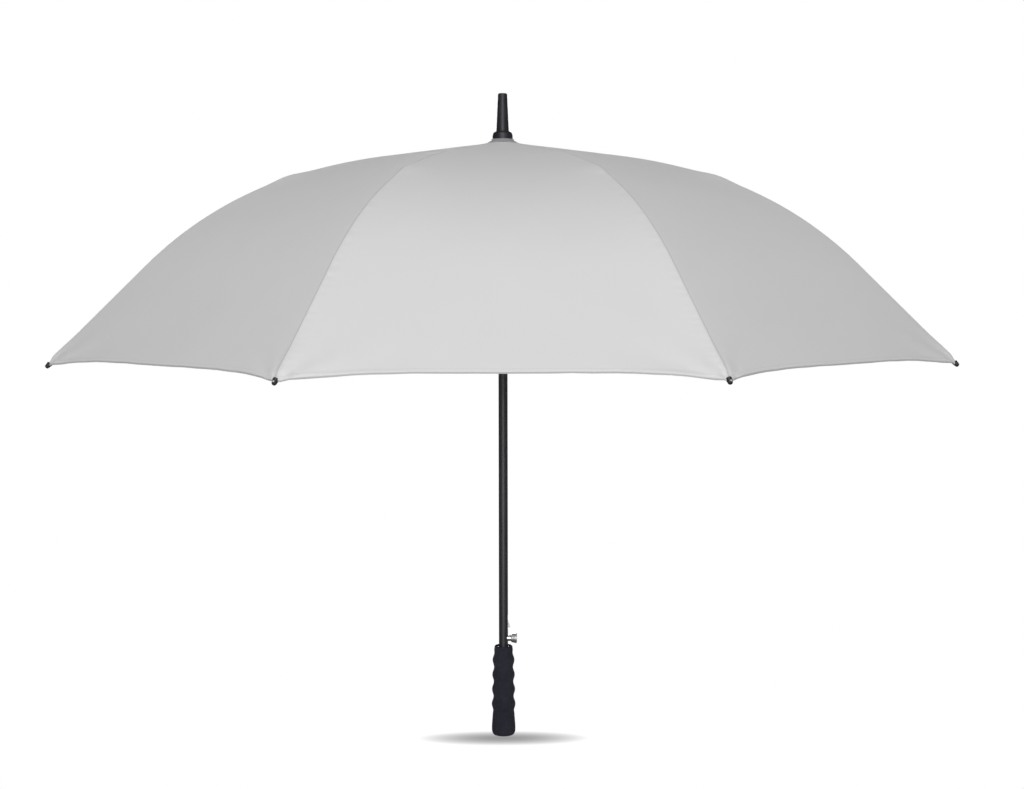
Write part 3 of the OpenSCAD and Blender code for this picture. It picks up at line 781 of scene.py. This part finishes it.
# ---- Stage ----

FLOOR_SIDES = (-12, 12)
FLOOR_ENDS = (-8, 16)
# A painted shadow on the floor under the handle: its half sizes, its centre's offset and its darkness
PAINTED_SHADOW_SIZE = (0.116, 0.034)
PAINTED_SHADOW_Y = -0.019
PAINTED_SHADOW_DEPTH = 0.67
LIT_WORLD = 0.192
MIRRORED_WORLD = 0.09
WHITE = (1, 1, 1, 1)
# Name, place, target, size and power
LIGHTS = (
    ("key", (0, -4.0, 1.3), (0, 0, 0.65), (1.6, 1.4), 64),
    ("top", (0, -2.2, 2.8), (0, -0.2, 0.8), (1.6, 1.0), 42),
    ("back", (0, 4.2, 1.1), (0, 0, 0.7), (2.4, 0.8), 90),
    ("low", (0, -3.4, 0.35), (0, 0, 0.4), (0.9, 0.6), 4),
)


def mixed(tree, factor, first, second):
    """A shader that goes from first to second as factor goes from 0 to 1."""
    mix = tree.nodes.new("ShaderNodeMixShader")
    for socket, output in zip(mix.inputs, (factor, first, second)):
        tree.links.new(output, socket)
    return mix.outputs[0]


def white_with_painted_shadow(m):
    """White paper, with a painted soft grey shadow under the handle."""
    x, y, _ = m.axes()
    wide = m.math("POWER", m.math("DIVIDE", x, PAINTED_SHADOW_SIZE[0]), 2)
    deep = m.math("POWER", m.math("DIVIDE", m.math("SUBTRACT", y, PAINTED_SHADOW_Y), PAINTED_SHADOW_SIZE[1]), 2)
    # Painted shadow: darkest at the middle of an oval under the handle, fading to white at its rim
    painted_shadow = m.math("MAXIMUM", m.math("SUBTRACT", 1, m.math("ADD", wide, deep)), 0)
    return m.math("SUBTRACT", 1, m.math("MULTIPLY", painted_shadow, PAINTED_SHADOW_DEPTH))


def stage_floor():
    (left, right), (front, back) = FLOOR_SIDES, FLOOR_ENDS
    corners = [(left, front, 0), (right, front, 0), (right, back, 0), (left, back, 0)]
    floor = mesh_object("floor", corners, [(0, 1, 2, 3)])
    m = Shader("studio_floor", Roughness=0.9, Specular_IOR_Level=0.0)
    m.mottle(m.noise(60, detail=3), dark=(0.86, 0.86, 0.86), light=(0.88, 0.88, 0.88))
    tree = m.material.node_tree
    path = m.nodes.new("ShaderNodeLightPath")
    shown = m.shader.outputs[0]
    for ray, strength in (("Is Glossy Ray", MIRRORED_WORLD), ("Is Camera Ray", white_with_painted_shadow(m))):
        seen = m.nodes.new("ShaderNodeEmission")
        m.put(seen.inputs["Strength"], strength)
        shown = mixed(tree, path.outputs[ray], shown, seen.outputs[0])
    # From below the floor is clear, so that the underside can be looked at
    from_below = m.nodes.new("ShaderNodeNewGeometry").outputs["Backfacing"]
    clear = m.nodes.new("ShaderNodeBsdfTransparent").outputs[0]
    m.links.new(mixed(tree, from_below, shown, clear), m.nodes["Material Output"].inputs["Surface"])
    dress(floor, m.material)


def stage_world():
    """Soft light from all round, dimmer in mirror-like surfaces, and white where the camera sees it."""
    world = bpy.data.worlds.new("studio")
    bpy.context.scene.world = world
    world.use_nodes = True
    tree = world.node_tree
    path = tree.nodes.new("ShaderNodeLightPath")

    def lit(background, strength):
        background.inputs["Color"].default_value = WHITE
        background.inputs["Strength"].default_value = strength
        return background.outputs[0]

    shown = lit(tree.nodes["Background"], LIT_WORLD)
    for ray, strength in (("Is Glossy Ray", MIRRORED_WORLD), ("Is Camera Ray", 1.0)):
        other = lit(tree.nodes.new("ShaderNodeBackground"), strength)
        shown = mixed(tree, path.outputs[ray], shown, other)
    tree.links.new(shown, tree.nodes["World Output"].inputs["Surface"])


def soft_light(name, place, target, size, power):
    data = bpy.data.lights.new(name, "AREA")
    data.shape = "RECTANGLE"
    data.size, data.size_y = size
    data.energy = power
    obj = bpy.data.objects.new(name, data)
    bpy.context.scene.collection.objects.link(obj)
    obj.location = place
    obj.rotation_euler = (Vector(target) - Vector(place)).to_track_quat("-Z", "Y").to_euler()


def studio():
    bpy.context.scene.view_settings.view_transform = "Standard"
    stage_world()
    stage_floor()
    for light in LIGHTS:
        soft_light(*light)


CAMERA_PLACE = (0.0025, -2.1035, HINGE_Z - 0.1913)
CAMERA_PITCH = 1.81
CAMERA_YAW = -0.27
CAMERA_ROLL = -0.09
CAMERA_SHIFT = -0.06
CAMERA_REACH = 50
LENS = 53.9
SENSOR = 36


def camera():
    data = bpy.data.cameras.new("camera")
    data.lens = LENS
    data.sensor_width = SENSOR
    data.clip_end = CAMERA_REACH
    data.shift_y = CAMERA_SHIFT
    obj = bpy.data.objects.new("camera", data)
    bpy.context.scene.collection.objects.link(obj)
    obj.location = CAMERA_PLACE
    obj.rotation_euler = (math.radians(90 - CAMERA_PITCH), 0, math.radians(CAMERA_YAW))
    obj.rotation_euler.rotate_axis("Z", math.radians(CAMERA_ROLL))
    bpy.context.scene.camera = obj


camera()
dress_cad_nodes()
for number in range(1, RIBS + 1):
    canopy_gore(number)
    rib_ties(number)
canopy_crown()
foam_grip()
studio()
